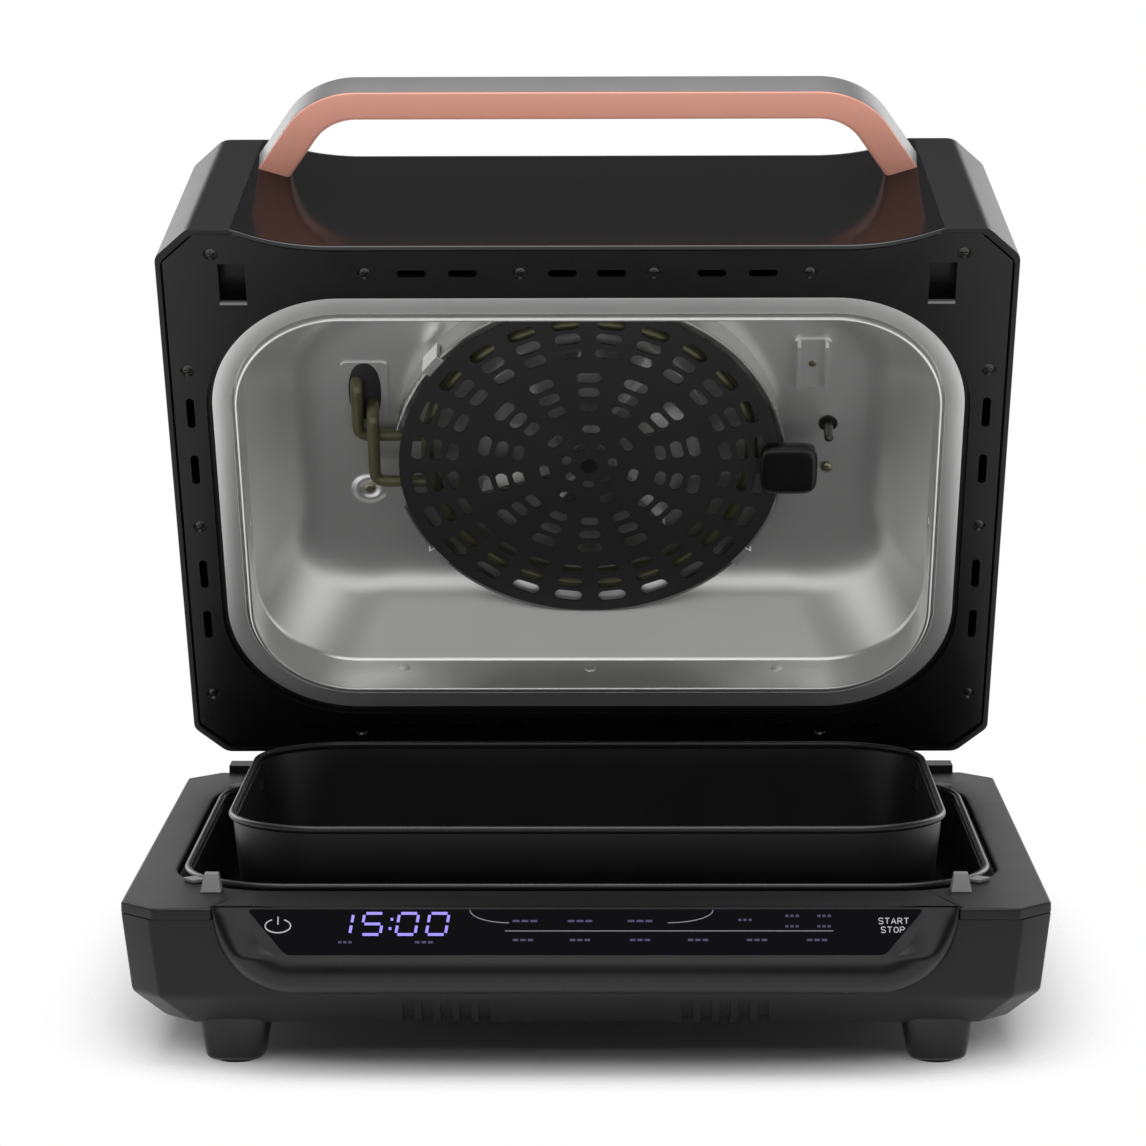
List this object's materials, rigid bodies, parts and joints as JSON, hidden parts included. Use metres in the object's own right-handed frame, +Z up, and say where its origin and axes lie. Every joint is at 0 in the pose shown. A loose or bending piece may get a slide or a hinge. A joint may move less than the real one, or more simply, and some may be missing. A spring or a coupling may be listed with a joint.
{
  "type": "air fryer grill",
  "caption": "Countertop air fryer grill with an eight-sided base, touch fascia, lift-out pan and pot, and a hinged lid with bar handle, fan, heater and splatter shield",
  "frame": {"origin": "on the counter, under the middle of the machine's box as it stands with its lid open", "axes": "+X to the right as seen from the front, +Y to the back, +Z up"},
  "size_m": [0.42, 0.4228, 0.4435],
  "materials": {
    "shell": "matte",
    "black_shell": "satin",
    "gloss_panel": "gloss",
    "control_glass": "gloss",
    "board": "satin",
    "bright_steel": "satin",
    "fastener": "bright",
    "pan_coat": "satin",
    "pale_lug": "matte",
    "rubber": "matte",
    "copper": "satin metallic",
    "handle_grey": "satin",
    "shield_coat": "satin",
    "heater_tube": "dull",
    "wool": "matte"
  },
  "bodies": {
    "base": {"base_housing": "shell", "bottom_plate": "black_shell", "base_deck": "shell", "front_fascia": "black_shell", "control_glass": "control_glass", "touch_board": "board", "power_board": "board", "pan_tub": "bright_steel", "pan_lugs": "pale_lug", "grill_pan": "pan_coat", "cooking_pot": "pan_coat", "latch_posts": "pale_lug", "hinge_housing": "shell", "hinge_pins": "fastener", "feet": "black_shell", "foot_pads": "rubber", "base_screws": "fastener", "cable_gland": "rubber"},
    "lid": {"lid_cover": "shell", "lid_front_panel": "gloss_panel", "lid_bezel": "black_shell", "bezel_screws": "fastener", "rim_seal": "rubber", "rim_ring": "bright_steel", "rim_rivets": "fastener", "liner": "bright_steel", "liner_screws": "fastener", "heater": "heater_tube", "heater_plate": "bright_steel", "fan_shroud": "bright_steel", "shield_clips": "bright_steel", "sensor_bracket": "bright_steel", "temperature_probe": "fastener", "insulation": "wool", "motor_bracket": "bright_steel", "fan_motor": "bright_steel", "handle_core": "copper", "handle_cap": "handle_grey", "handle_screws": "fastener", "hinge_arms": "shell", "lid_switch": "black_shell"},
    "fan": {"fan_impeller": "bright_steel", "motor_shaft": "fastener", "cooling_fan": "black_shell", "fan_nut": "fastener"},
    "shield": {"splatter_shield": "shield_coat", "shield_rivet": "fastener", "shield_grip": "black_shell"}
  },
  "joints": [
    {"name": "lid_hinge", "type": "hinge", "parent": "base", "child": "lid", "pos_m": [0, 0.14028, 0.08115], "axis": [-1, 0, 0], "range_deg": [-59, 0]},
    {"name": "fan_spin", "type": "hinge", "parent": "lid", "child": "fan", "pos_m": [0, 0.10504, 0.25445], "axis": [0, 0.8572, 0.515], "continuous": true},
    {"name": "shield_pull", "type": "slide", "parent": "lid", "child": "shield", "axis": [0, -0.8572, -0.515], "range_m": [0, 0.06]}
  ]
}
